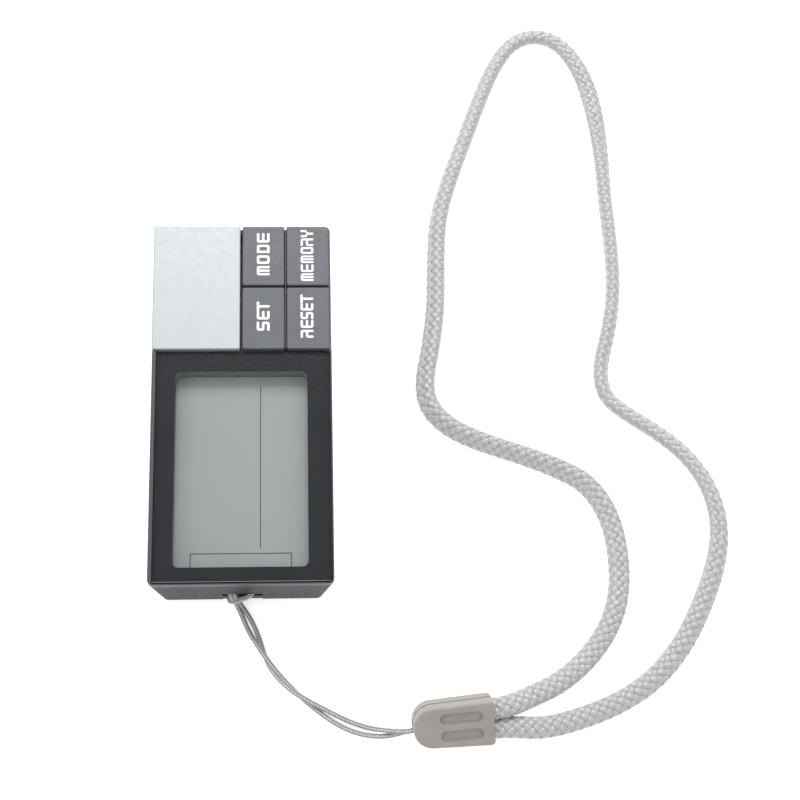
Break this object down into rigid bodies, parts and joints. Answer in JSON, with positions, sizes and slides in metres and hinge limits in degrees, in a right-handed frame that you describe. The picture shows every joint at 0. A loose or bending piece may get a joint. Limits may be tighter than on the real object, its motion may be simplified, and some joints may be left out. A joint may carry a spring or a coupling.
{
  "type": "handheld digital timer",
  "caption": "Slim handheld digital timer with a large silver key, grey keys, a deep-set display window, and a clipped wrist cord.",
  "frame": {"origin": "centre of the back face that the timer lies on", "axes": "+Z out of the display, +Y from the cord eye towards the keys, +X to the display's right"},
  "size_m": [0.1204, 0.1645, 0.014],
  "materials": {
    "case_plastic": "fine-textured dark grey ABS",
    "window_clear": "clear polished acrylic",
    "window_black": "black ink behind the clear window",
    "lcd_film": "grey green reflective film",
    "lcd_glass": "thin clear glass",
    "holder_plastic": "light grey plastic",
    "connector_rubber": "soft layered rubber",
    "board_laminate": "green solder mask",
    "epoxy": "black epoxy",
    "steel": "nickel plated",
    "chip_ceramic": "small fired ceramic blocks",
    "brass": "thin plate",
    "buzzer_ceramic": "silvered ceramic",
    "spring_steel": "thin spring sheet",
    "clip_plastic": "warm grey moulded plastic",
    "string_fibre": "thin grey braided string",
    "cord_fibre": "light grey braided polyester",
    "silver_plastic": "satin silver",
    "key_plastic": "fine matt grey"
  },
  "bodies": {
    "housing": {"rear_case": "case_plastic", "front_frame": "case_plastic", "window_lens": "window_clear", "window_mask": "window_black", "lcd_front_polariser": "lcd_film", "lcd_front_glass": "lcd_glass", "lcd_rear_glass": "lcd_glass", "lcd_reflector": "lcd_film", "lcd_holder": "holder_plastic", "zebra_connector": "connector_rubber", "circuit_board": "board_laminate", "controller_blob": "epoxy", "quartz_crystal": "steel", "chip_capacitors": "chip_ceramic", "chip_resistors": "chip_ceramic", "buzzer_plate": "brass", "buzzer_ceramic": "buzzer_ceramic", "buzzer_contacts": "spring_steel", "coin_cell": "steel", "cell_contact_positive": "spring_steel", "cell_contact_negative": "spring_steel", "case_screws": "steel", "board_screws": "steel", "clip_front_shell": "clip_plastic", "clip_rear_shell": "clip_plastic", "string_knot": "string_fibre", "string_hitch": "string_fibre", "string_strand_a": "string_fibre", "string_strand_b": "string_fibre", "wrist_cord": "cord_fibre", "start_stop_dome": "spring_steel", "mode_dome": "spring_steel", "memory_dome": "spring_steel", "set_dome": "spring_steel", "reset_dome": "spring_steel"},
    "start_stop_key": {"start_stop_key": "silver_plastic"},
    "mode_key": {"mode_key": "key_plastic"},
    "memory_key": {"memory_key": "key_plastic"},
    "set_key": {"set_key": "key_plastic"},
    "reset_key": {"reset_key": "key_plastic"},
    "battery_door": {"battery_door": "case_plastic", "door_screws": "steel"}
  },
  "joints": [
    {"name": "start_stop_press", "type": "slide", "parent": "housing", "child": "start_stop_key", "axis": [0, 0, -1], "range_m": [0, 0.0005], "stiffness_N_per_m": 2500, "springref_m": -0.0001, "deforming": ["start_stop_dome"]},
    {"name": "mode_press", "type": "slide", "parent": "housing", "child": "mode_key", "axis": [0, 0, -1], "range_m": [0, 0.0005], "stiffness_N_per_m": 2500, "springref_m": -0.0001, "deforming": ["mode_dome"]},
    {"name": "memory_press", "type": "slide", "parent": "housing", "child": "memory_key", "axis": [0, 0, -1], "range_m": [0, 0.0005], "stiffness_N_per_m": 2500, "springref_m": -0.0001, "deforming": ["memory_dome"]},
    {"name": "set_press", "type": "slide", "parent": "housing", "child": "set_key", "axis": [0, 0, -1], "range_m": [0, 0.0005], "stiffness_N_per_m": 2500, "springref_m": -0.0001, "deforming": ["set_dome"]},
    {"name": "reset_press", "type": "slide", "parent": "housing", "child": "reset_key", "axis": [0, 0, -1], "range_m": [0, 0.0005], "stiffness_N_per_m": 2500, "springref_m": -0.0001, "deforming": ["reset_dome"]},
    {"name": "battery_door_lift", "type": "slide", "parent": "housing", "child": "battery_door", "axis": [0, 0, -1], "range_m": [0, 0.008]}
  ]
}
